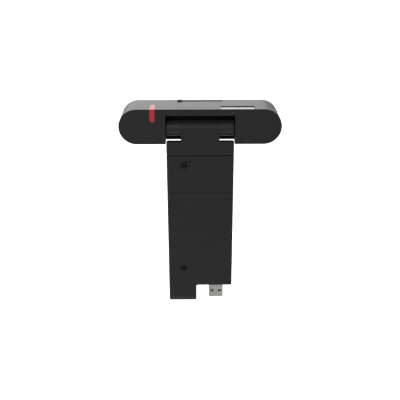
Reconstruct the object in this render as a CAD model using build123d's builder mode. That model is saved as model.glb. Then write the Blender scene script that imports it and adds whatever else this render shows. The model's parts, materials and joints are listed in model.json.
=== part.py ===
from build123d import *
import os
from math import cos, radians, sin

# Monitor-mount webcam: a stadium-shaped camera bar tilting on a flat plug-in bracket.
# Millimetres, +Z up, the lens faces -Y. The origin is the middle of the USB-A plug, where its
# metal shell leaves the lower edge of the bracket.

os.makedirs("parts", exist_ok=True)

# ---------------------------------------------------------------- driving dimensions
# USB-A plug, standard size
plug_w = 12.0
plug_t = 4.5
plug_out = 11.9
plug_in = 7.0
plug_sheet = 0.3
contact_xs = (-3.5, -1.0, 1.0, 3.5)

# bracket plate, carried by the monitor
plate_w = 51.8
plate_t = 9.5
plate_x = 12.8
tab_w = 22.7
tab_drop = 14.2
seam_low = 83.0
seam_high = 113.45
shoulder_top = 124.4
shoulder_r = 5.0
trough_deep = 4.0
trough_wall = 1.2
seam_line_w = 0.3
seam_line_deep = 0.3
case_wall = 1.5
edge_round = 1.5
lead_tall = 3.6
lead_deep = 1.1

# hinge between the bracket and the camera bar
barrel_r = 5.9
barrel_z = 133.95
barrel_half = 25.5
tongue_half = 14.7
side_play = 0.25
pin_r = 2.0
tube_r = 2.8
tube_hole_r = 1.9
bush_r = 3.0
run_gap = 0.05
fixed_gap = 0.02
cap_t = 1.1
cap_seam = 0.2
cap_plug_r = 4.3
groove_tilt = 35.0
groove_w = 1.0
groove_deep = 0.6

# camera bar
bar_w = 122.8
bar_h = 27.0
bar_d = 31.0
bar_z = 136.2
bar_wall = 1.6
bezel_t = 2.0
recess_half = 26.2
recess_top = 144.0
recess_depth = 13.0
recess_flare = 3.0
slot_len = 35.2
slot_w = 2.8
slot_back = 25.9
knob_len = 3.9
knob_w = 4.0
knob_rise = 0.9
blade_w = 15.0
strip_x = 48.7
strip_w = 3.8
strip_drop = 9.8
strip_run = 14.2
strip_t = 0.8
strip_proud = 0.1
badge_x = -15.4
badge_y = -0.8
badge_size = (25.4, 8.8)
badge_t = 0.4
badge_sunk = 0.6

# fasteners and wiring
screw_r = 1.0
screw_len = 6.0
small_screw_r = 0.8
cable_r = 1.0
cable_bend = 3.0
cable_x = 10.0
head_cable_x = -7.1
button_places = {"upper": (25.1, 106.3), "lower": (26.2, 17.0)}
button_hole_r = 2.4
button_nub_r = 1.6
button_nub_shift = 0.75
button_flange_r = 3.5
button_rise = 0.9
catch_half = 4.0
catch_foot = 102.9
catch_groove = 0.5
catch_deep = 0.45

# ---------------------------------------------------------------- derived places
rear_y = plate_t / 2
front_y = -plate_t / 2
plate_left = plate_x - plate_w / 2
plate_right = plate_x + plate_w / 2
tab_left = plate_right - tab_w
axis_y = rear_y - barrel_r
bar_front = rear_y - bar_d
bezel_y = bar_front + bezel_t
bar_top = bar_z + bar_h / 2
bar_bottom = bar_z - bar_h / 2
wall_y = rear_y - recess_depth
wall_back_y = wall_y - bar_wall
slot_y = rear_y - slot_back
knob_travel = slot_len - knob_len
knob_x = plate_x + knob_travel / 2
recess_left = plate_x - recess_half
tongue_left = plate_x - tongue_half
tongue_right = plate_x + tongue_half
outer_left = plate_x - barrel_half
outer_right = plate_x + barrel_half
knuckle_left = outer_left + cap_t + cap_seam
knuckle_right = outer_right - cap_t - cap_seam
joint_left = tongue_left - side_play
joint_right = tongue_right + side_play
board_y = wall_back_y - 0.65
board_t = 1.0
board_front = board_y - board_t


def along_y(y):
    """Plane at depth y that faces the front (-Y), with local axes X and Z."""
    return Plane.XZ.offset(-y)


def across_x(x):
    """Plane at x that faces +X, with local axes Y and Z."""
    return Plane.YZ.offset(x)


def finish(builder, name):
    """Label a finished piece and write it."""
    builder.part.label = name
    export_step(builder.part, f"parts/{name}.step")


def block(x_span, y_span, z_span, mode=Mode.ADD):
    """Box given by its spans along X, Y and Z."""
    spans = (x_span, y_span, z_span)
    with Locations(tuple((low + high) / 2 for low, high in spans)):
        Box(*(high - low for low, high in spans), mode=mode)


def round_y(x, z, y_back, y_front, radius, mode=Mode.ADD):
    """Cylinder along Y from y_back forward to y_front."""
    with BuildSketch(along_y(y_back)) as disc:
        with Locations((x, z)):
            Circle(radius)
    extrude(disc.sketch, amount=y_back - y_front, mode=mode)


def round_x(x_low, x_high, y, z, radius, mode=Mode.ADD):
    """Cylinder along X between two places."""
    with BuildSketch(across_x(x_low)) as disc:
        with Locations((y, z)):
            Circle(radius)
    extrude(disc.sketch, amount=x_high - x_low, mode=mode)


def stadium(y_back, y_front, inset=0.0, mode=Mode.ADD):
    """Slice of the camera bar's stadium section between two depths."""
    with BuildSketch(along_y(y_back)) as section:
        with Locations((plate_x, bar_z)):
            SlotOverall(bar_w - 2 * inset, bar_h - 2 * inset)
    extrude(section.sketch, amount=y_back - y_front, mode=mode)


# ================================================================ bracket case
case_screws = ((-7.6, 47.0), (33.2, 47.0), (31.0, -5.5), (-7.6, 94.0), (33.2, 94.0))
ear_screws = ((-7.6, 109.5), (33.2, 109.5))
post_r = 2.6


def plate_outline(z_low, z_high, inset=0.0):
    """Corners of the plate between two heights, with the guide tab if it is that low."""
    left = plate_left + inset
    right = plate_right - inset
    if z_low > -tab_drop:
        return (left, z_low), (right, z_low), (right, z_high), (left, z_high)
    step = tab_left + inset
    foot = z_low + inset
    return ((left, inset), (step, inset), (step, foot), (right, foot),
            (right, z_high), (left, z_high))


def case_skin(z_low, z_high, outer_y):
    """Outer skin and side walls of one half of the case, open towards the middle plane."""
    inner_y = outer_y - case_wall if outer_y > 0 else outer_y + case_wall
    has_tab = z_low <= -tab_drop
    with BuildSketch(along_y(outer_y)) as outline:
        Polygon(*plate_outline(z_low, z_high), align=None)
    extrude(outline.sketch, amount=outer_y)
    if has_tab:
        fillet(edges().filter_by(Axis.Y).filter_by(lambda e: e.center().Z < 1), radius=1.2)
    seams = (z_high,) if has_tab else (z_low, z_high)
    rim = edges().filter_by_position(Axis.Y, outer_y - 0.01, outer_y + 0.01)
    rim = rim.filter_by(lambda e: all(abs(e.center().Z - seam) > 0.01 for seam in seams))
    fillet(rim, radius=edge_round)
    with BuildSketch(along_y(inner_y)) as hollow:
        Polygon(*plate_outline(z_low, z_high, case_wall), align=None)
    extrude(hollow.sketch, amount=inner_y, mode=Mode.SUBTRACT)
    for seam in seams:
        block((plate_left + case_wall, plate_right - case_wall), sorted((0, inner_y)),
              (seam - case_wall, seam + case_wall), Mode.SUBTRACT)
    if has_tab:
        lead_in(outer_y)
        block((-plug_w / 2 - run_gap, plug_w / 2 + run_gap),
              (-plug_t / 2 - run_gap, plug_t / 2 + run_gap), (-1, case_wall + 1), Mode.SUBTRACT)


def seam_line(z):
    """Shallow shadow line across the rear face where two panels meet."""
    block((plate_left - 1, plate_right + 1), (rear_y - seam_line_deep, rear_y + 1),
          (z - seam_line_w / 2, z + seam_line_w / 2), Mode.SUBTRACT)


def lead_in(outer_y):
    """Sloping lead-in at the foot of the guide tab."""
    facing = 1 if outer_y > 0 else -1
    with BuildSketch(across_x(tab_left - 1)) as wedge:
        Polygon((outer_y - facing * lead_deep, -tab_drop - 0.1),
                (outer_y + facing * 0.5, -tab_drop - 0.1),
                (outer_y + facing * 0.5, -tab_drop + lead_tall),
                (outer_y, -tab_drop + lead_tall), align=None)
    extrude(wedge.sketch, amount=tab_w + 2, mode=Mode.SUBTRACT)


def button_pocket(x, z):
    """Guide for a spring button in a rear panel: a hole with a boss and a wider bore behind it."""
    round_y(x, z, rear_y - case_wall, 0.4, button_flange_r + 1.4)
    round_y(x, z, rear_y + 1, -1, button_hole_r, Mode.SUBTRACT)
    round_y(x, z, rear_y - case_wall, -1, button_flange_r + 2 * run_gap, Mode.SUBTRACT)


def panel_posts(spots):
    """Screw posts that reach from a rear panel to the front shell."""
    for x, z in spots:
        round_y(x, z, rear_y - case_wall, front_y + case_wall, post_r)
        round_y(x, z, rear_y - case_wall - 0.3, front_y, screw_r + run_gap, Mode.SUBTRACT)


with BuildPart() as rear_panel_lower:
    case_skin(-tab_drop, seam_low, rear_y)
    seam_line(seam_low)
    lower_x, lower_z = button_places["lower"]
    button_pocket(lower_x, lower_z)
    panel_posts(case_screws[:3])
    for side in (-1, 1):
        with BuildSketch(along_y(rear_y)) as pips:
            with Locations((lower_x + side * 6.85, lower_z + 0.2)):
                SlotOverall(1.7, 1.0, rotation=90)
        extrude(pips.sketch, amount=0.5, mode=Mode.SUBTRACT)
    with BuildSketch(along_y(rear_y)) as ring:
        with Locations((lower_x, lower_z + 0.6)):
            Circle(3.6)
            Circle(3.3, mode=Mode.SUBTRACT)
    extrude(ring.sketch, amount=0.2, mode=Mode.SUBTRACT)
finish(rear_panel_lower, "rear_panel_lower")

with BuildPart() as rear_panel_upper:
    case_skin(seam_low, seam_high, rear_y)
    seam_line(seam_low)
    seam_line(seam_high)
    upper_x, upper_z = button_places["upper"]
    button_pocket(upper_x, upper_z)
    panel_posts(case_screws[3:])
    with BuildSketch(along_y(rear_y)) as catch:
        with Locations((upper_x, (catch_foot + seam_high + 4) / 2)):
            RectangleRounded(2 * catch_half + catch_groove, seam_high + 4 - catch_foot, 3.0)
            RectangleRounded(2 * catch_half - catch_groove, seam_high + 4 - catch_foot - 2 * catch_groove,
                             2.5, mode=Mode.SUBTRACT)
    extrude(catch.sketch, amount=catch_deep, mode=Mode.SUBTRACT)
finish(rear_panel_upper, "rear_panel_upper")

with BuildPart() as front_shell:
    case_skin(-tab_drop, seam_high, front_y)
    for x, z in case_screws + ear_screws:
        round_y(x, z, 0, front_y - 1, screw_r + 0.2, Mode.SUBTRACT)
        round_y(x, z, front_y + 0.9, front_y - 1, screw_r * 2 + 0.1, Mode.SUBTRACT)
    for x, z in button_places.values():
        round_y(x, z, front_y + case_wall + 1.0, front_y + case_wall, 1.2)
finish(front_shell, "front_shell")

with BuildPart() as case_fasteners:
    for x, z in case_screws + ear_screws:
        round_y(x, z, front_y + screw_len, front_y + 0.85, screw_r)
        round_y(x, z, front_y + 0.9, front_y + 0.1, screw_r * 2)
        block((x - 1.1, x + 1.1), (front_y - 0.2, front_y + 0.5), (z - 0.2, z + 0.2), Mode.SUBTRACT)
        block((x - 0.2, x + 0.2), (front_y - 0.2, front_y + 0.5), (z - 1.1, z + 1.1), Mode.SUBTRACT)
finish(case_fasteners, "case_screws")

# ---------------------------------------------------------------- spring buttons
for where, (button_x, button_z) in button_places.items():
    nub_z = button_z + button_nub_shift
    with BuildPart() as button:
        round_y(button_x, button_z, rear_y - case_wall - 2 * run_gap, -0.2, button_flange_r)
        round_y(button_x, nub_z, rear_y + button_rise, rear_y - case_wall - 0.2, button_nub_r)
        tip = rear_y + button_rise
        fillet(edges().filter_by_position(Axis.Y, tip - 0.01, tip + 0.01), radius=0.8)
        round_y(button_x, button_z, 2.6, -0.3, 1.9, Mode.SUBTRACT)
    finish(button, f"{where}_spring_button")

    with BuildPart() as coil:
        with BuildLine() as turns:
            Helix(pitch=0.9, height=3.6, radius=1.5,
                  center=(button_x, front_y + case_wall + 0.25, button_z), direction=(0, 1, 0))
        with BuildSketch(Plane(turns.line @ 0, z_dir=turns.line % 0)):
            Circle(0.2)
        sweep()
    finish(coil, f"{where}_button_spring")

# ================================================================ USB-A plug and its board
usb_board_y = front_y + case_wall
usb_board_top = 38.0

with BuildPart() as usb_shell:
    with BuildSketch(Plane.XY.offset(-plug_out)):
        RectangleRounded(plug_w, plug_t, 0.6)
        RectangleRounded(plug_w - 2 * plug_sheet, plug_t - 2 * plug_sheet, 0.3, mode=Mode.SUBTRACT)
    extrude(amount=plug_out + plug_in)
    for x in (-3.1, 3.1):
        block((x - 1.25, x + 1.25), (-plug_t, plug_t), (-7.1, -5.1), Mode.SUBTRACT)
    block((-0.05, 0.05), (-plug_t, -1), (-plug_out - 1, plug_in + 1), Mode.SUBTRACT)
finish(usb_shell, "usb_plug_shell")

with BuildPart() as usb_insulator:
    block((-5.4, 5.4), (0.1, plug_t / 2 - plug_sheet - fixed_gap), (-plug_out + 0.4, plug_in))
    for x in contact_xs:
        block((x - 0.55, x + 0.55), (-0.1, 0.25), (-11.0, plug_in - 1), Mode.SUBTRACT)
finish(usb_insulator, "usb_plug_insulator")

with BuildPart() as usb_contacts:
    for x in contact_xs:
        block((x - 0.5, x + 0.5), (0.0, 0.25), (-10.8, plug_in - 1.1))
finish(usb_contacts, "usb_plug_contacts")

with BuildPart() as usb_board:
    block((-9.0, 14.5), (usb_board_y, usb_board_y + board_t), (plug_in + 0.3, usb_board_top))
finish(usb_board, "usb_board")

with BuildPart() as usb_chips:
    for x, z, wide, tall, high in ((0.0, 24.0, 6.0, 6.0, 0.9), (-5.5, 14.0, 2.5, 3.2, 0.8),
                                   (6.0, 14.0, 3.0, 2.0, 0.8), (-5.5, 31.0, 1.6, 3.2, 0.6)):
        block((x - wide / 2, x + wide / 2),
              (usb_board_y + board_t, usb_board_y + board_t + high), (z - tall / 2, z + tall / 2))
finish(usb_chips, "usb_board_chips")

with BuildPart() as board_socket:
    block((cable_x - 3, cable_x + 3), (usb_board_y + board_t, usb_board_y + board_t + 2.6), (31.0, 36.5))
finish(board_socket, "usb_board_connector")

# ================================================================ hinge
def groove():
    """Parting groove along the barrel, on its upper rear side."""
    lift = radians(90 - groove_tilt)
    middle = barrel_r - groove_deep / 2 + 0.5
    with BuildSketch(across_x(outer_left - 1)) as cut:
        with Locations((axis_y + middle * cos(lift), barrel_z + middle * sin(lift))):
            Rectangle(groove_deep + 1, groove_w, rotation=90 - groove_tilt)
    extrude(cut.sketch, amount=2 * barrel_half + 2, mode=Mode.SUBTRACT)


with BuildPart() as hinge_block:
    with BuildSketch(across_x(plate_left)) as shoulder:
        with Locations((0, (seam_high + shoulder_top) / 2)):
            Rectangle(plate_t, shoulder_top - seam_high)
        fillet(shoulder.vertices().group_by(Axis.Z)[-1].sort_by(Axis.Y)[-1], radius=shoulder_r)
        fillet(shoulder.vertices().group_by(Axis.Z)[-1].sort_by(Axis.Y)[0], radius=1.0)
    extrude(amount=plate_w)
    ends = edges().filter_by_position(Axis.X, plate_left - 0.01, plate_left + 0.01)
    ends += edges().filter_by_position(Axis.X, plate_right - 0.01, plate_right + 0.01)
    fillet(ends.filter_by(lambda e: e.center().Z > seam_high + 0.01), radius=edge_round)
    with BuildSketch(across_x(tongue_left)):
        with Locations((0, (seam_high + 5 + barrel_z) / 2)):
            Rectangle(plate_t, barrel_z - seam_high - 5)
        with Locations((axis_y, barrel_z)):
            Circle(barrel_r)
    extrude(amount=2 * tongue_half)
    groove()
    for low, high in ((plate_left + edge_round + 0.1, tongue_left),
                      (tongue_right, plate_right - edge_round - 0.1)):
        block((low, high), (front_y + trough_wall, rear_y - shoulder_r - 0.15),
              (shoulder_top - trough_deep, shoulder_top + 1), Mode.SUBTRACT)
    for low, high in ((-11.0, 3.0), (30.6, plate_right - case_wall - 0.1)):
        block((low, high), (front_y + case_wall, rear_y - case_wall), (seam_high - 7.4, seam_high))
    for x, z in ear_screws:
        round_y(x, z, rear_y - case_wall - 0.6, front_y, screw_r + run_gap, Mode.SUBTRACT)
    round_x(tongue_left - 1, cable_x - 4, axis_y, barrel_z, tube_r + run_gap, Mode.SUBTRACT)
    block((cable_x - 5.5, cable_x + 2.2), (axis_y - 2.2, axis_y + 2.2),
          (barrel_z - 5.0, barrel_z + 2.4), Mode.SUBTRACT)
    block((cable_x - 1.6, cable_x + 1.6), (axis_y - 1.6, axis_y + 1.6),
          (seam_high - 1, barrel_z - 4), Mode.SUBTRACT)
    round_x(tongue_right - 11.5, tongue_right + 1, axis_y, barrel_z, pin_r + fixed_gap, Mode.SUBTRACT)
finish(hinge_block, "hinge_block")

with BuildPart() as hinge_pin:
    round_x(tongue_right - 11.4, outer_right - 1.5, axis_y, barrel_z, pin_r)
finish(hinge_pin, "hinge_pin")

yoke_screws = [(x, barrel_z + side * 2.6) for x in (30.4, -10.0) for side in (-1, 1)]
yoke_tip_y = wall_y + 3.1

with BuildPart() as hinge_yoke:
    for low, high in ((knuckle_left, joint_left), (joint_right, knuckle_right)):
        round_x(low, high, axis_y, barrel_z, barrel_r)
        block((low, high - 0.4), (wall_y, axis_y), (barrel_z - 4, barrel_z + 4))
    groove()
    round_x(knuckle_left - 1, knuckle_left + 1, axis_y, barrel_z, cap_plug_r + fixed_gap, Mode.SUBTRACT)
    round_x(knuckle_left, joint_left + 1, axis_y, barrel_z, tube_r + fixed_gap, Mode.SUBTRACT)
    round_x(joint_right - 1, outer_right - 4.4, axis_y, barrel_z, bush_r + fixed_gap, Mode.SUBTRACT)
    round_x(outer_right - 4.4, outer_right, axis_y, barrel_z, cap_plug_r + fixed_gap, Mode.SUBTRACT)
    block((head_cable_x - 1.8, head_cable_x + 3.7), (wall_y - 1, axis_y),
          (barrel_z - 1.7, barrel_z + 1.7), Mode.SUBTRACT)
    for x, z in yoke_screws:
        round_y(x, z, yoke_tip_y + 0.2, wall_y - 1, small_screw_r + run_gap, Mode.SUBTRACT)
finish(hinge_yoke, "hinge_yoke")

with BuildPart() as cable_tube:
    round_x(outer_left + 1.3, cable_x - 5.5, axis_y, barrel_z, tube_r)
    round_x(outer_left, cable_x, axis_y, barrel_z, tube_hole_r, Mode.SUBTRACT)
    block((head_cable_x - 1.8, head_cable_x + 3.7), (axis_y - 4, axis_y),
          (barrel_z - 1.7, barrel_z + 1.7), Mode.SUBTRACT)
finish(cable_tube, "hinge_cable_tube")

with BuildPart() as pivot_bush:
    round_x(joint_right, outer_right - 4.5, axis_y, barrel_z, bush_r)
    round_x(joint_right - 1, outer_right, axis_y, barrel_z, pin_r + run_gap, Mode.SUBTRACT)
finish(pivot_bush, "pivot_bush")

with BuildPart() as friction_washers:
    for step in range(3):
        low = outer_right - 4.35 + 0.5 * step
        round_x(low, low + 0.45, axis_y, barrel_z, 4.1)
    round_x(outer_right - 5, outer_right, axis_y, barrel_z, pin_r + run_gap, Mode.SUBTRACT)
finish(friction_washers, "friction_washers")

with BuildPart() as retaining_ring:
    round_x(outer_right - 2.8, outer_right - 2.1, axis_y, barrel_z, 3.6)
    round_x(outer_right - 5, outer_right, axis_y, barrel_z, pin_r + fixed_gap, Mode.SUBTRACT)
finish(retaining_ring, "retaining_ring")

with BuildPart() as end_caps:
    for outer, inward in ((outer_left, 1), (outer_right, -1)):
        inner = outer + inward * cap_t
        tip = inner + inward * (cap_seam + 0.6)
        round_x(min(outer, inner), max(outer, inner), axis_y, barrel_z, barrel_r)
        fillet(edges().filter_by_position(Axis.X, outer - 0.01, outer + 0.01), radius=0.4)
        round_x(min(inner, tip), max(inner, tip), axis_y, barrel_z, cap_plug_r)
        round_x(min(inner, tip + inward), max(inner, tip + inward), axis_y, barrel_z,
                cap_plug_r - 0.5, Mode.SUBTRACT)
finish(end_caps, "hinge_end_caps")

# ---------------------------------------------------------------- cable, held all the way
def round_bundle(path):
    """Cable bundle along a path made of straight runs and tangent arcs."""
    with BuildSketch(Plane(path @ 0, z_dir=path % 0)) as section:
        Circle(cable_r)
    sweep(section.sketch, path=path)


with BuildPart() as bracket_cable:
    with BuildLine() as route:
        FilletPolyline((cable_x, axis_y, 36.5), (cable_x, axis_y, barrel_z),
                       (joint_left + 0.1, axis_y, barrel_z), radius=cable_bend)
    round_bundle(route.line)
finish(bracket_cable, "bracket_cable")

with BuildPart() as head_cable:
    with BuildLine() as route:
        FilletPolyline((joint_left, axis_y, barrel_z), (head_cable_x, axis_y, barrel_z),
                       (head_cable_x, board_front - 2.3, barrel_z), (-17.0, board_front - 2.3, barrel_z),
                       radius=cable_bend)
    round_bundle(route.line)
finish(head_cable, "head_cable")

# ================================================================ camera bar case
mic_xs = (plate_x - 47.0, plate_x + 47.0)
led_x = 3.0
led_z = 129.0
main_posts = ((-37.4, bar_z), (-19.0, 128.2))
camera_screw_xs = (plate_x - 8.6, plate_x + 8.6)


def strip_channel(depth, margin, top, back):
    """The accent strip's L-shaped band, sunk by depth below the faces at top and back."""
    half = strip_w / 2 + margin
    with BuildSketch(along_y(back)) as drop:
        with Locations((strip_x, bar_top - strip_drop + strip_w / 2)):
            Circle(half)
        with Locations((strip_x, bar_top - (strip_drop - strip_w / 2) / 2)):
            Rectangle(2 * half, strip_drop - strip_w / 2)
    with BuildSketch(Plane.XY.offset(top)) as run:
        with Locations((strip_x, rear_y - strip_run + strip_w / 2)):
            Circle(half)
        with Locations((strip_x, back - (strip_run - strip_w / 2) / 2)):
            Rectangle(2 * half, strip_run - strip_w / 2)
    return drop.sketch, run.sketch


with BuildPart() as rear_housing:
    stadium(rear_y, bezel_y)
    rim = edges().filter_by_position(Axis.Y, rear_y - 0.01, rear_y + 0.01)
    chamfer(rim, length=0.25)
    chamfer(edges().filter_by_position(Axis.Y, bezel_y - 0.01, bezel_y + 0.01), length=0.15)
    stadium(wall_back_y, bezel_y - 1, bar_wall, Mode.SUBTRACT)
    with BuildSketch(along_y(rear_y - bar_wall)):
        with Locations((plate_x, bar_z)):
            SlotOverall(bar_w - 2 * bar_wall, bar_h - 2 * bar_wall)
        with Locations((plate_x, recess_top + bar_wall - bar_h)):
            Rectangle(2 * (recess_half + bar_wall), 2 * bar_h, mode=Mode.SUBTRACT)
    extrude(amount=rear_y - bar_wall - wall_back_y, mode=Mode.SUBTRACT)
    with BuildSketch(across_x(recess_left)):
        with BuildLine():
            Polyline((wall_y, bar_bottom - 1), (wall_y, recess_top),
                     (rear_y - recess_flare, recess_top))
            ThreePointArc((rear_y - recess_flare, recess_top),
                          (rear_y - recess_flare * (1 - cos(radians(45))),
                           recess_top + recess_flare * (1 - sin(radians(45)))),
                          (rear_y, recess_top + recess_flare))
            Polyline((rear_y, recess_top + recess_flare), (rear_y + 1, recess_top + recess_flare),
                     (rear_y + 1, bar_bottom - 1), (wall_y, bar_bottom - 1))
        make_face()
    extrude(amount=2 * recess_half, mode=Mode.SUBTRACT)
    block((plate_x - slot_len / 2, plate_x + slot_len / 2), (slot_y - slot_w / 2, slot_y + slot_w / 2),
          (bar_top - 3, bar_top + 1), Mode.SUBTRACT)
    drop, run = strip_channel(strip_t, 0.05, bar_top, rear_y)
    extrude(drop, amount=strip_t, mode=Mode.SUBTRACT)
    extrude(run, amount=-strip_t, mode=Mode.SUBTRACT)
    with BuildSketch(Plane.XY.offset(bar_top)):
        with Locations((badge_x, badge_y)):
            RectangleRounded(badge_size[0] + 0.2, badge_size[1] + 0.2, 1.1)
    extrude(amount=-badge_sunk - badge_t, mode=Mode.SUBTRACT)
    for x, z in main_posts:
        round_y(x, z, rear_y - bar_wall, board_y, 2.2)
        round_y(x, z, board_y + 6, board_y - 1, screw_r + run_gap, Mode.SUBTRACT)
    for x in camera_screw_xs:
        round_y(x, bar_z, wall_back_y, board_y, 1.8)
        round_y(x, bar_z, wall_back_y + 1.0, board_y - 1, small_screw_r + run_gap, Mode.SUBTRACT)
    for x, z in yoke_screws:
        round_y(x, z, wall_y + 0.1, wall_back_y - 1, small_screw_r + run_gap, Mode.SUBTRACT)
    round_y(head_cable_x, barrel_z, wall_y + 1, wall_back_y - 1, cable_r + 0.7, Mode.SUBTRACT)
finish(rear_housing, "rear_housing")

with BuildPart() as front_bezel:
    stadium(bezel_y, bar_front)
    rim = edges().filter_by_position(Axis.Y, bar_front - 0.01, bar_front + 0.01)
    fillet(rim, radius=0.8)
    chamfer(edges().filter_by_position(Axis.Y, bezel_y - 0.01, bezel_y + 0.01), length=0.15)
    stadium(bezel_y + 1.6, bezel_y, bar_wall + 0.1)
    stadium(bezel_y + 2, bezel_y, bar_wall + 1.3, Mode.SUBTRACT)
    block((-42.0, 62.0), (bezel_y, bezel_y + 2), (bar_top - 4, bar_top), Mode.SUBTRACT)
    round_y(plate_x, bar_z, bezel_y + 1, bar_front - 1, 5.6, Mode.SUBTRACT)
    round_y(plate_x, bar_z, bar_front + 1.1, bar_front - 1, 7.6, Mode.SUBTRACT)
    for x in mic_xs:
        round_y(x, bar_z, bezel_y + 1, bar_front - 1, 0.7, Mode.SUBTRACT)
    round_y(led_x, led_z, bezel_y + 1, bar_front - 1, 1.0 + fixed_gap, Mode.SUBTRACT)
finish(front_bezel, "front_bezel")

drop, run = strip_channel(strip_t, 0.0, bar_top + strip_proud, rear_y + strip_proud)
with BuildPart() as accent_strip:
    extrude(drop, amount=strip_t)
    extrude(run, amount=-strip_t)
    fillet(edges().filter_by(Axis.X).group_by(Axis.Z)[-1].sort_by(Axis.Y)[-1], radius=0.5)
finish(accent_strip, "accent_strip")

with BuildPart() as badge_plate:
    with BuildSketch(Plane.XY.offset(bar_top - badge_sunk - badge_t)):
        with Locations((badge_x, badge_y)):
            RectangleRounded(*badge_size, 1.0)
    extrude(amount=badge_t)
finish(badge_plate, "badge_plate")

# ================================================================ camera
barrel_front = bezel_y + 3.2
with BuildPart() as lens_window:
    round_y(plate_x, bar_z, bar_front + 1.1, bar_front + 0.1, 7.5)
finish(lens_window, "lens_window")

with BuildPart() as lens_barrel:
    round_y(plate_x, bar_z, barrel_front + 3.4, barrel_front, 5.4)
    round_y(plate_x, bar_z, board_front - 1.4, barrel_front + 3.4, 4.5)
    round_y(plate_x, bar_z, board_front, barrel_front - 1, 3.3, Mode.SUBTRACT)
    with BuildSketch(along_y(barrel_front)):
        with Locations((plate_x, bar_z)):
            Circle(4.6)
    extrude(amount=-1.2, taper=35, mode=Mode.SUBTRACT)
finish(lens_barrel, "lens_barrel")

with BuildPart() as lens_elements:
    for back, front in ((2.9, 1.3), (5.0, 3.8), (7.0, 6.2)):
        round_y(plate_x, bar_z, barrel_front + back, barrel_front + front, 3.28)
finish(lens_elements, "lens_elements")

with BuildPart() as lens_holder:
    block((plate_x - 6.5, plate_x + 6.5), (board_front - 3.6, board_front), (bar_z - 6.5, bar_z + 6.5))
    block((plate_x - 11.0, plate_x + 11.0), (board_front - 1.2, board_front), (bar_z - 2.2, bar_z + 2.2))
    round_y(plate_x, bar_z, board_front + 1, board_front - 5, 4.5 + fixed_gap, Mode.SUBTRACT)
    for x in camera_screw_xs:
        round_y(x, bar_z, board_front + 1, board_front - 3, small_screw_r + run_gap, Mode.SUBTRACT)
finish(lens_holder, "lens_holder")

with BuildPart() as sensor:
    block((plate_x - 3.0, plate_x + 3.0), (board_front - 0.8, board_front), (bar_z - 2.5, bar_z + 2.5))
finish(sensor, "image_sensor")

with BuildPart() as sensor_board:
    block((plate_x - 12.0, plate_x + 12.0), (board_front, board_y), (126.0, 146.0))
    for x in camera_screw_xs:
        round_y(x, bar_z, board_y + 1, board_front - 1, small_screw_r + run_gap, Mode.SUBTRACT)
finish(sensor_board, "sensor_board")

with BuildPart() as main_board:
    block((-40.0, -16.0), (board_front, board_y), (126.0, 146.4))
    for x, z in main_posts:
        round_y(x, z, board_y + 1, board_front - 1, screw_r + run_gap, Mode.SUBTRACT)
finish(main_board, "main_board")

with BuildPart() as main_chips:
    for x, z, wide, tall, high in ((-30.3, 137.0, 9.0, 9.0, 1.0), (-22.5, 143.0, 4.0, 3.0, 0.9),
                                   (-37.0, 129.5, 3.2, 4.0, 0.9), (-37.0, 143.0, 3.0, 3.0, 0.8)):
        block((x - wide / 2, x + wide / 2), (board_front - high, board_front),
              (z - tall / 2, z + tall / 2))
finish(main_chips, "main_board_chips")

with BuildPart() as main_socket:
    block((-23.0, -17.0), (board_front - 3.6, board_front), (barrel_z - 3, barrel_z + 3))
finish(main_socket, "main_board_connector")

with BuildPart() as sensor_flex:
    block((-18.0, 3.0), (board_front - 0.15, board_front), (139.6, 145.4))
finish(sensor_flex, "sensor_flex")

with BuildPart() as microphones:
    for x in mic_xs:
        block((x - 1.9, x + 1.9), (bezel_y + 2.0, bezel_y + 3.0), (bar_z - 1.5, bar_z + 1.5))
finish(microphones, "microphones")

with BuildPart() as mic_boards:
    for x in mic_xs:
        block((x - 3.5, x + 3.5), (bezel_y + 3.0, bezel_y + 3.8), (bar_z - 3.0, bar_z + 3.0))
finish(mic_boards, "microphone_boards")

with BuildPart() as mic_gaskets:
    for x in mic_xs:
        round_y(x, bar_z, bezel_y + 2.0, bezel_y, 1.8)
        round_y(x, bar_z, bezel_y + 3.0, bezel_y - 1, 0.6, Mode.SUBTRACT)
finish(mic_gaskets, "microphone_gaskets")

with BuildPart() as light_pipe:
    round_y(led_x, led_z, board_front - 0.9, bar_front + 0.1, 1.0)
finish(light_pipe, "status_light_pipe")

with BuildPart() as status_led:
    block((led_x - 0.8, led_x + 0.8), (board_front - 0.8, board_front), (led_z - 0.5, led_z + 0.5))
finish(status_led, "status_led")

with BuildPart() as camera_screws:
    for x in camera_screw_xs:
        round_y(x, bar_z, wall_back_y + 0.9, board_front - 1.2, small_screw_r)
        round_y(x, bar_z, board_front - 1.2, board_front - 2.0, 1.5)
finish(camera_screws, "camera_screws")

with BuildPart() as board_screws:
    for x, z in main_posts:
        round_y(x, z, board_y + 5, board_front, screw_r)
        round_y(x, z, board_front, board_front - 1.2, 1.9)
finish(board_screws, "main_board_screws")

with BuildPart() as yoke_fasteners:
    for x, z in yoke_screws:
        round_y(x, z, yoke_tip_y, wall_back_y, small_screw_r)
        round_y(x, z, wall_back_y, wall_back_y - 0.6, 1.4)
finish(yoke_fasteners, "yoke_screws")

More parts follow.
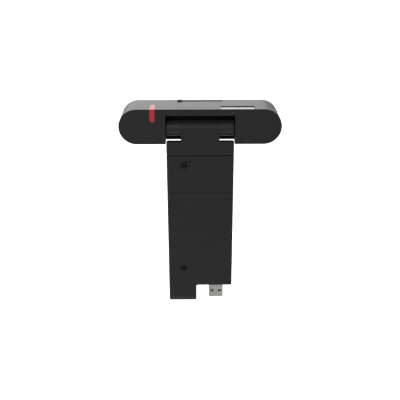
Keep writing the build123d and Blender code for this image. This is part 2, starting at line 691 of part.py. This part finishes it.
# ================================================================ privacy shutter
blade_x = plate_x + knob_travel
rail_z = bar_top - bar_wall - 0.9
with BuildPart() as shutter_slider:
    block((knob_x - knob_len / 2, knob_x + knob_len / 2),
          (slot_y - knob_w / 2, slot_y + knob_w / 2), (bar_top + 0.06, bar_top + knob_rise))
    fillet(edges().filter_by(Axis.Z), radius=0.6)
    fillet(faces().sort_by(Axis.Z)[-1].edges(), radius=0.3)
    for step in (-1, 0, 1):
        block((knob_x + step - 0.2, knob_x + step + 0.2), (slot_y - knob_w, slot_y + knob_w),
              (bar_top + knob_rise - 0.3, bar_top + knob_rise + 1), Mode.SUBTRACT)
    block((knob_x - knob_len / 2 + 0.1, knob_x + knob_len / 2 - 0.1),
          (slot_y - slot_w / 2 + 0.1, slot_y + slot_w / 2 - 0.1), (rail_z, bar_top + 0.1))
    block((knob_x - slot_len + 1, blade_x + blade_w / 2), (bezel_y + 0.9, slot_y + slot_w / 2 + 0.4),
          (rail_z - 0.9, rail_z))
finish(shutter_slider, "shutter_slider")

with BuildPart() as privacy_blade:
    block((blade_x - blade_w / 2, blade_x + blade_w / 2), (bezel_y + 0.5, bezel_y + 0.9),
          (bar_z - 7.5, rail_z))
finish(privacy_blade, "privacy_blade")

with BuildPart() as shutter_guide:
    block((-2.0, 55.0), (bezel_y + 1.9, bezel_y + 2.5), (bar_z - 9.5, rail_z - 1.2))
    round_y(plate_x, bar_z, bezel_y + 4, bezel_y, 6.2, Mode.SUBTRACT)
    round_y(led_x, led_z, bezel_y + 4, bezel_y, 1.3, Mode.SUBTRACT)
finish(shutter_guide, "shutter_guide")
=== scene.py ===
"""Monitor-mount webcam: the studio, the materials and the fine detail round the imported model."""

import json
import math

import bmesh
import bpy
from mathutils import Matrix, Vector


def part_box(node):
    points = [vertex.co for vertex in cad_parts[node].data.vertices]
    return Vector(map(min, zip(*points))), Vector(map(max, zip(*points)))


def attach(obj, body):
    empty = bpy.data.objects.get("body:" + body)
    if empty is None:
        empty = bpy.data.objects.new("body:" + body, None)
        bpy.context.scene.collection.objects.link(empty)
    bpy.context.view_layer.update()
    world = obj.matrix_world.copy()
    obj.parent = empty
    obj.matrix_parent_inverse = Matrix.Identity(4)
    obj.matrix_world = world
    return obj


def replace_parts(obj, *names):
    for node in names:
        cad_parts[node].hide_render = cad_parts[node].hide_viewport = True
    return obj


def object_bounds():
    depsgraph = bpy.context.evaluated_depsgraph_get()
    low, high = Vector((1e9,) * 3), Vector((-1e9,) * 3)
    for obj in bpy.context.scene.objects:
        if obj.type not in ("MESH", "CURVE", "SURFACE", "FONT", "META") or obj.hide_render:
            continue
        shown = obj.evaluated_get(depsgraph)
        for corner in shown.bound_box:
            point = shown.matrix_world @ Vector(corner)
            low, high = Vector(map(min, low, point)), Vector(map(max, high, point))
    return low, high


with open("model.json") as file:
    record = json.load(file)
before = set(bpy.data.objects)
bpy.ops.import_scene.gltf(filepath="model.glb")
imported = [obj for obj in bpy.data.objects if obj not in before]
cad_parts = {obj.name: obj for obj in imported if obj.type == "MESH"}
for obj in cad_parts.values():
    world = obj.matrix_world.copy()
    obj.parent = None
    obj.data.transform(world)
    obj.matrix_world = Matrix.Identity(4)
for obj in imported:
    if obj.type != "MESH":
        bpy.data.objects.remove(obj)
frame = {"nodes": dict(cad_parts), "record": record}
cad_low, cad_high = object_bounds()
nodes = frame["nodes"]
MM = 0.001


# ================================================================ camera
LENS = 58.5
CLIP_START = 0.01
CAMERA_AT = Vector((15.57, 475.06, 274.15)) * MM
PITCH_DOWN = math.radians(22.742)
YAW = math.radians(-0.308)
ROLL = math.radians(-0.105)


def make_camera():
    """Camera behind and above the object, looking forward along -Y."""
    forward = Vector((math.sin(YAW) * math.cos(PITCH_DOWN),
                      -math.cos(YAW) * math.cos(PITCH_DOWN),
                      -math.sin(PITCH_DOWN)))
    level_right = forward.cross(Vector((0, 0, 1))).normalized()
    level_up = level_right.cross(forward)
    right = level_right * math.cos(ROLL) + level_up * math.sin(ROLL)
    up = level_up * math.cos(ROLL) - level_right * math.sin(ROLL)
    data = bpy.data.cameras.new("camera")
    data.lens = LENS
    data.clip_start = CLIP_START
    camera = bpy.data.objects.new("camera", data)
    bpy.context.scene.collection.objects.link(camera)
    facing = Matrix((right, up, -forward)).transposed().to_4x4()
    camera.matrix_world = Matrix.Translation(CAMERA_AT) @ facing
    bpy.context.scene.camera = camera


# ================================================================ materials
NOISE_SPAN = (0.3, 0.7)
# The colour sockets of a Mix node are found by number, because each of its data types repeats the names.
MIX_FIRST = 6
MIX_SECOND = 7
MIX_RESULT = 2
# Sizes and depths of surface patterns are in millimetres.
UNEVEN_SIZE = 9.0
UNEVEN_SHARE = 0.07
WAVE_SIZE = 14.0
WAVE_DEPTH = 0.02
TOOL_ROUGH = 0.05
TARNISH_SIZE = 2.5
TARNISH_SHARE = 0.08
SCRATCH_ROUGH = 0.08
SMUDGE_SIZE = 6.0
SMUDGE_DEPTH = 0.0004
SMUDGE_ROUGH = 0.015
MASK_GREEN = (0.010, 0.085, 0.035)
MASK_GREEN_LIGHT = (0.012, 0.100, 0.042)
TRACK_GREEN = (0.030, 0.200, 0.080)
TRACK_SCALE = 260.0
TRACK_WIDTH = 0.06
WEAVE_SIZE = 0.5
WEAVE_DEPTH = 0.01
WEAVE_ROUGH = 0.08


class Finish:
    """A procedural material being built: one Principled shader and the patterns that feed it."""

    def __init__(self, name, colour, roughness, **sockets):
        self.material = bpy.data.materials.new(name)
        self.material.use_nodes = True
        self.tree = self.material.node_tree
        self.shader = self.tree.nodes["Principled BSDF"]
        self.colour = colour
        self.roughness = roughness
        self.height = None
        self.shader.inputs["Base Color"].default_value = (*colour, 1)
        self.shader.inputs["Roughness"].default_value = roughness
        for socket, value in sockets.items():
            self.shader.inputs[socket.replace("_", " ")].default_value = value
        self.place = self.tree.nodes.new("ShaderNodeTexCoord").outputs["Object"]

    def node(self, kind, links=(), **values):
        """Add a node, set its named inputs and link the given ones."""
        made = self.tree.nodes.new(kind)
        for socket, value in values.items():
            made.inputs[socket.replace("_", " ")].default_value = value
        for socket, source in links:
            self.tree.links.new(source, made.inputs[socket])
        return made

    def noise(self, size_mm, stretch=(1, 1, 1), detail=2.0):
        """Noise whose blobs are about size_mm across, squeezed along each axis by stretch."""
        mapped = self.node("ShaderNodeMapping", [("Vector", self.place)])
        mapped.inputs["Scale"].default_value = stretch
        cloud = self.node("ShaderNodeTexNoise", [("Vector", mapped.outputs[0])],
                          Scale=1 / (size_mm * MM), Detail=detail)
        return cloud.outputs[0]

    def remap(self, source, from_low, from_high, to_low, to_high):
        """Carry a value over from one range to another."""
        made = self.node("ShaderNodeMapRange", [("Value", source)],
                         From_Min=from_low, From_Max=from_high, To_Min=to_low, To_Max=to_high)
        return made.outputs[0]

    def spread(self, source, low, high):
        """Stretch a noise value to run from low to high."""
        return self.remap(source, *NOISE_SPAN, low, high)

    def mottle(self, size_mm, share, tint=(1, 1, 1), stretch=(1, 1, 1), detail=3.0):
        """Vary the colour by share of itself, towards tint where it is light."""
        darker = [c * (1 - share) for c in self.colour]
        lighter = [min(1, c * (1 + share) * t) for c, t in zip(self.colour, tint)]
        return self.blend(darker, lighter, self.noise(size_mm, stretch, detail))

    def blend(self, first, second, pattern):
        """Colour that goes from first to second with a pattern."""
        mix = self.tree.nodes.new("ShaderNodeMix")
        mix.data_type = "RGBA"
        self.tree.links.new(self.spread(pattern, 0, 1), mix.inputs["Factor"])
        mix.inputs[MIX_FIRST].default_value = (*first, 1)
        mix.inputs[MIX_SECOND].default_value = (*second, 1)
        self.tree.links.new(mix.outputs[MIX_RESULT], self.shader.inputs["Base Color"])
        return self

    def grain(self, size_mm, depth_mm, rough_by=0.0, stretch=(1, 1, 1), detail=2.0):
        """Surface relief of a given depth that also varies the roughness."""
        pattern = self.noise(size_mm, stretch, detail)
        bump = self.node("ShaderNodeBump", [("Height", pattern)], Distance=depth_mm * MM, Strength=1.0)
        if self.height is not None:
            self.tree.links.new(self.height, bump.inputs["Normal"])
        self.height = bump.outputs[0]
        self.tree.links.new(self.height, self.shader.inputs["Normal"])
        if rough_by:
            rough = self.spread(pattern, self.roughness - rough_by, self.roughness + rough_by)
            self.tree.links.new(rough, self.shader.inputs["Roughness"])
        return self


def moulded(name, colour, roughness, texture_mm, depth_mm, specular=0.5):
    """Injection-moulded plastic with a fine tool texture and a faint large-scale unevenness."""
    finish = Finish(name, colour, roughness, Specular_IOR_Level=specular)
    finish.mottle(UNEVEN_SIZE, UNEVEN_SHARE)
    finish.grain(WAVE_SIZE, WAVE_DEPTH)
    finish.grain(texture_mm, depth_mm, rough_by=TOOL_ROUGH)
    return finish.material


def metal(name, colour, roughness, scratch_mm=0.15, depth_mm=0.002, stretch=(1, 1, 1)):
    """Bare metal with fine marks, drawn out along one axis when stretched."""
    finish = Finish(name, colour, roughness, Metallic=1.0)
    finish.mottle(TARNISH_SIZE, TARNISH_SHARE)
    finish.grain(scratch_mm, depth_mm, rough_by=SCRATCH_ROUGH, stretch=stretch)
    return finish.material


def glass(name, tint, roughness=0.02, **sockets):
    """Clear or tinted glass with faint smudges."""
    finish = Finish(name, tint, roughness, Transmission_Weight=1.0, **sockets)
    finish.grain(SMUDGE_SIZE, SMUDGE_DEPTH, rough_by=SMUDGE_ROUGH)
    return finish.material


def solder_mask():
    """Green circuit board with copper tracks under the mask and a fine weave."""
    finish = Finish("circuit_board", MASK_GREEN, 0.35)
    tracks = finish.node("ShaderNodeTexBrick", [("Vector", finish.place)], Scale=TRACK_SCALE)
    tracks.inputs["Color1"].default_value = (*MASK_GREEN, 1)
    tracks.inputs["Color2"].default_value = (*MASK_GREEN_LIGHT, 1)
    tracks.inputs["Mortar"].default_value = (*TRACK_GREEN, 1)
    tracks.inputs["Mortar Size"].default_value = TRACK_WIDTH
    finish.tree.links.new(tracks.outputs["Color"], finish.shader.inputs["Base Color"])
    finish.grain(WEAVE_SIZE, WEAVE_DEPTH, rough_by=WEAVE_ROUGH)
    return finish.material


def make_materials():
    """One procedural material for each of the record's material slots."""
    red = Finish("red_accent", (0.29, 0.022, 0.031), 0.42, Specular_IOR_Level=0.22)
    red.mottle(5.0, 0.10)
    red.grain(0.35, 0.004, rough_by=0.06)
    badge = Finish("badge_metal", (0.11, 0.11, 0.113), 0.44, Metallic=1.0)
    badge.mottle(0.6, 0.10, stretch=(0.05, 1, 1))
    badge.grain(0.12, 0.004, rough_by=0.10, stretch=(0.02, 1, 1))
    jacket = Finish("cable_jacket", (0.018, 0.018, 0.020), 0.55)
    jacket.mottle(3.0, 0.15)
    jacket.grain(0.6, 0.03, rough_by=0.1, stretch=(0.2, 0.2, 0.2))
    film = Finish("flex_film", (0.55, 0.22, 0.03), 0.28)
    film.mottle(2.0, 0.2, tint=(1.0, 0.8, 0.6))
    film.grain(0.4, 0.01, rough_by=0.06, stretch=(0.1, 1, 1))
    led = Finish("led_body", (0.80, 0.78, 0.70), 0.4)
    led.mottle(0.5, 0.06)
    led.grain(0.2, 0.003, rough_by=0.06)
    return {
        "bracket_plastic": moulded("bracket_plastic", (0.0115, 0.0115, 0.0119), 0.54, 0.28, 0.006, 0.18),
        "hinge_plastic": moulded("hinge_plastic", (0.0135, 0.0135, 0.0139), 0.46, 0.25, 0.005, 0.18),
        "bar_plastic": moulded("bar_plastic", (0.0110, 0.0110, 0.0114), 0.50, 0.30, 0.006, 0.20),
        "bezel_plastic": moulded("bezel_plastic", (0.010, 0.010, 0.010), 0.30, 0.22, 0.003),
        "shutter_plastic": moulded("shutter_plastic", (0.010, 0.010, 0.010), 0.70, 0.20, 0.005, 0.15),
        "button_plastic": moulded("button_plastic", (0.006, 0.006, 0.006), 0.60, 0.20, 0.004, 0.12),
        "red_accent": red.material,
        "badge_metal": badge.material,
        "steel": metal("steel", (0.56, 0.56, 0.57), 0.30, stretch=(0.3, 1, 1)),
        "dark_screw": metal("dark_screw", (0.09, 0.09, 0.095), 0.36),
        "plug_steel": metal("plug_steel", (0.33, 0.325, 0.31), 0.40, 0.10, 0.003, (1, 1, 0.06)),
        "insulator": moulded("insulator", (0.012, 0.012, 0.013), 0.5, 0.2, 0.004),
        "gold_contact": metal("gold_contact", (0.60, 0.43, 0.18), 0.34, 0.08, 0.002, (1, 1, 0.05)),
        "circuit_board": solder_mask(),
        "chip_plastic": moulded("chip_plastic", (0.014, 0.014, 0.015), 0.6, 0.12, 0.006),
        "cable_jacket": jacket.material,
        "bush_plastic": moulded("bush_plastic", (0.70, 0.68, 0.62), 0.45, 0.3, 0.006),
        "window_glass": glass("window_glass", (0.55, 0.56, 0.58), IOR=1.5),
        "lens_metal": metal("lens_metal", (0.035, 0.035, 0.037), 0.42, 0.2, 0.004),
        "lens_glass": glass("lens_glass", (0.90, 0.94, 0.98), 0.01, IOR=1.62,
                            Thin_Film_Thickness=320.0, Thin_Film_IOR=1.38),
        "flex_film": film.material,
        "rubber_seal": moulded("rubber_seal", (0.015, 0.015, 0.015), 0.75, 0.3, 0.012),
        "light_pipe": glass("light_pipe", (0.92, 0.94, 0.95), 0.12, IOR=1.49),
        "led_body": led.material,
    }


def dress(materials):
    """Give each CAD node the material of its slot in the record."""
    for part in frame["record"]["subparts"]:
        for holder in nodes[part["node"]].material_slots:
            holder.material = materials[part["material_slot"]]


# ================================================================ studio
FLOOR_DROP = 0.45
FLOOR_HALF = 9.0
WALL_AT = -3.2
WALL_HEIGHT = 4.5
SWEEP_RADIUS = 1.2
BEND_STEPS = 24
# Along Y, the paper carries painted light and painted shade: before the first place it has its far
# colour and full glow, after the second its darker near colour and no glow.
PAPER_FADE = (-0.2, 0.9)
PAPER_NEAR = 0.80
PAPER_FAR = 0.90
PAPER_GLOW = 0.60
SURROUND = 0.50
# Each soft light: name, place, aim (None is the middle of the object), size and radiance.
LIGHTS = (
    ("back_light", (0.5, -1.5, 0.95), None, (2.0, 1.2), 3.1),
    ("left_light", (1.5, 0.1, 0.75), None, (0.9, 0.9), 1.0),
    ("rear_light", (0.5, 1.3, 1.1), None, (0.7, 0.7), 6.5),
    ("near_light", (0.36, 0.27, 0.36), (0.01, 0, 0.09), (0.22, 0.22), 5.5),
    ("floor_light", (0.0, -1.9, 1.9), (0, -1.3, 0), (3.0, 2.4), 0.5),
)


def make_sweep():
    """Pale studio floor that turns up into a wall on the far side of the object."""
    floor_z = cad_low.z - FLOOR_DROP
    profile = [(FLOOR_HALF, floor_z)]
    for step in range(BEND_STEPS + 1):
        turn = math.pi / 2 * step / BEND_STEPS
        profile.append((WALL_AT + SWEEP_RADIUS * (1 - math.sin(turn)),
                        floor_z + SWEEP_RADIUS * (1 - math.cos(turn))))
    profile.append((WALL_AT, floor_z + WALL_HEIGHT))
    mesh = bmesh.new()
    rows = [[mesh.verts.new((x, y, z)) for x in (-FLOOR_HALF, FLOOR_HALF)] for y, z in profile]
    for near, far in zip(rows, rows[1:]):
        mesh.faces.new((near[0], near[1], far[1], far[0]))
    data = bpy.data.meshes.new("studio_sweep")
    mesh.to_mesh(data)
    mesh.free()
    for face in data.polygons:
        face.use_smooth = True
    sweep = bpy.data.objects.new("studio_sweep", data)
    bpy.context.scene.collection.objects.link(sweep)
    data.materials.append(studio_paper())


def studio_paper():
    """Paper with painted light and painted shade: white and glowing on the far side, its colour falling
    off to grey on the near side.
    """
    paper = Finish("studio_paper", (1, 1, 1), 0.9)
    apart = paper.node("ShaderNodeSeparateXYZ", [("Vector", paper.place)])
    # Painted shade: the base colour is darker grey towards the near side. Painted light: the far side
    # glows though it is no lamp.
    far_share = paper.remap(apart.outputs["Y"], *PAPER_FADE, 1, 0)
    painted_shade_tone = paper.remap(far_share, 0, 1, PAPER_NEAR, PAPER_FAR)
    glow = paper.node("ShaderNodeMath", [(0, far_share)])
    glow.operation = "MULTIPLY"
    glow.inputs[1].default_value = PAPER_GLOW
    paper.tree.links.new(painted_shade_tone, paper.shader.inputs["Base Color"])
    paper.tree.links.new(glow.outputs[0], paper.shader.inputs["Emission Strength"])
    paper.shader.inputs["Emission Color"].default_value = (1, 1, 1, 1)
    return paper.material


def softbox(name, at, aim, size, radiance):
    """Rectangular soft light of a given radiance, aimed at a point."""
    data = bpy.data.lights.new(name, "AREA")
    data.shape = "RECTANGLE"
    data.size, data.size_y = size
    data.energy = radiance * math.pi * size[0] * size[1]
    light = bpy.data.objects.new(name, data)
    bpy.context.scene.collection.objects.link(light)
    light.location = at
    light.visible_camera = False
    light.rotation_euler = (Vector(aim) - Vector(at)).to_track_quat("-Z", "Y").to_euler()


def make_studio():
    """Floor, soft lights and an even pale surround."""
    make_sweep()
    centre = (cad_low + cad_high) / 2
    for name, at, aim, size, radiance in LIGHTS:
        softbox(name, at, aim or centre, size, radiance)
    world = bpy.data.worlds.new("surround")
    world.use_nodes = True
    backdrop = world.node_tree.nodes["Background"]
    backdrop.inputs["Color"].default_value = (1, 1, 1, 1)
    backdrop.inputs["Strength"].default_value = SURROUND
    bpy.context.scene.world = world
    bpy.context.scene.view_settings.view_transform = "Standard"


# ================================================================ fine detail
LENS_RADIUS = 3.28 * MM
LENS_RINGS = 10
ROUND_STEPS = 64
# Each lens: its front and back, in mm behind the front of the barrel, and how far each side bulges.
LENS_STACK = ((1.3, 2.9, 0.9, 0.5), (3.8, 5.0, -0.4, 0.3), (6.2, 7.0, 0.2, -0.2))
MASK_RADII = (4.5 * MM, 5.55 * MM)
MASK_GAP = 0.02 * MM
MIC_REACH = 47.0 * MM
MIC_RADIUS = 0.66 * MM
MIC_SUNK = 0.35 * MM
MIC_CELLS = 9
MIC_WIRE = 0.05 * MM
MERGE_GAP = 0.0005 * MM


def new_piece(name, mesh, body, slot, smooth=True):
    """Object from a bmesh that rides on a body and takes a slot's material."""
    data = bpy.data.meshes.new(name)
    bmesh.ops.recalc_face_normals(mesh, faces=mesh.faces)
    mesh.to_mesh(data)
    mesh.free()
    for face in data.polygons:
        face.use_smooth = smooth
    data.materials.append(materials[slot])
    piece = bpy.data.objects.new(name, data)
    bpy.context.scene.collection.objects.link(piece)
    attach(piece, body)
    return piece


def spin_profile(mesh, profile, middle, steps=ROUND_STEPS):
    """Turn a profile of (radius, y) points about the optical axis."""
    points = [mesh.verts.new((middle.x + radius, y, middle.z)) for radius, y in profile]
    edges = [mesh.edges.new(pair) for pair in zip(points, points[1:])]
    bmesh.ops.spin(mesh, geom=points + edges, cent=middle, axis=(0, 1, 0),
                   angle=2 * math.pi, steps=steps, use_duplicate=False)
    bmesh.ops.remove_doubles(mesh, verts=mesh.verts, dist=MERGE_GAP)


def make_lenses():
    """Curved lenses in the barrel, in place of the plain discs of the CAD."""
    low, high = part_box("lens_barrel")
    middle = (low + high) / 2
    mesh = bmesh.new()
    curve = [step / LENS_RINGS for step in range(LENS_RINGS + 1)]
    for front, back, front_bulge, back_bulge in LENS_STACK:
        front_side = [(LENS_RADIUS * r, low.y + (front - front_bulge * (1 - r * r)) * MM) for r in curve]
        back_side = [(LENS_RADIUS * r, low.y + (back + back_bulge * (1 - r * r)) * MM) for r in curve]
        spin_profile(mesh, front_side + back_side[::-1], middle)
    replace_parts(new_piece("curved_lenses", mesh, "camera_bar", "lens_glass"), "lens_elements")


def make_mask():
    """Black ring printed behind the window, which hides the edge of the lens barrel."""
    low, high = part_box("lens_window")
    middle = (low + high) / 2
    mesh = bmesh.new()
    inner, outer = MASK_RADII
    near = high.y + MASK_GAP
    far = near + MASK_GAP
    spin_profile(mesh, [(inner, near), (outer, near), (outer, far), (inner, far), (inner, near)], middle)
    new_piece("window_mask", mesh, "camera_bar", "rubber_seal", smooth=False)


def make_microphone_mesh():
    """Woven wire discs just inside the two microphone holes."""
    low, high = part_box("front_bezel")
    middle = (low + high) / 2
    for side, tag in ((-1, "right"), (1, "left")):
        mesh = bmesh.new()
        turn = Matrix.Translation((middle.x + side * MIC_REACH, low.y + MIC_SUNK, middle.z))
        turn = turn @ Matrix.Rotation(math.pi / 2, 4, "X") @ Matrix.Rotation(math.pi / 4, 4, "Z")
        bmesh.ops.create_grid(mesh, x_segments=MIC_CELLS, y_segments=MIC_CELLS, size=MIC_RADIUS)
        outside = [v for v in mesh.verts if v.co.length > MIC_RADIUS]
        bmesh.ops.delete(mesh, geom=outside, context="VERTS")
        bmesh.ops.transform(mesh, matrix=turn, verts=mesh.verts)
        wires = new_piece(f"microphone_mesh_{tag}", mesh, "camera_bar", "steel", smooth=False)
        weave = wires.modifiers.new("wires", "WIREFRAME")
        weave.thickness = MIC_WIRE


make_camera()
make_studio()
materials = make_materials()
dress(materials)
make_lenses()
make_mask()
make_microphone_mesh()
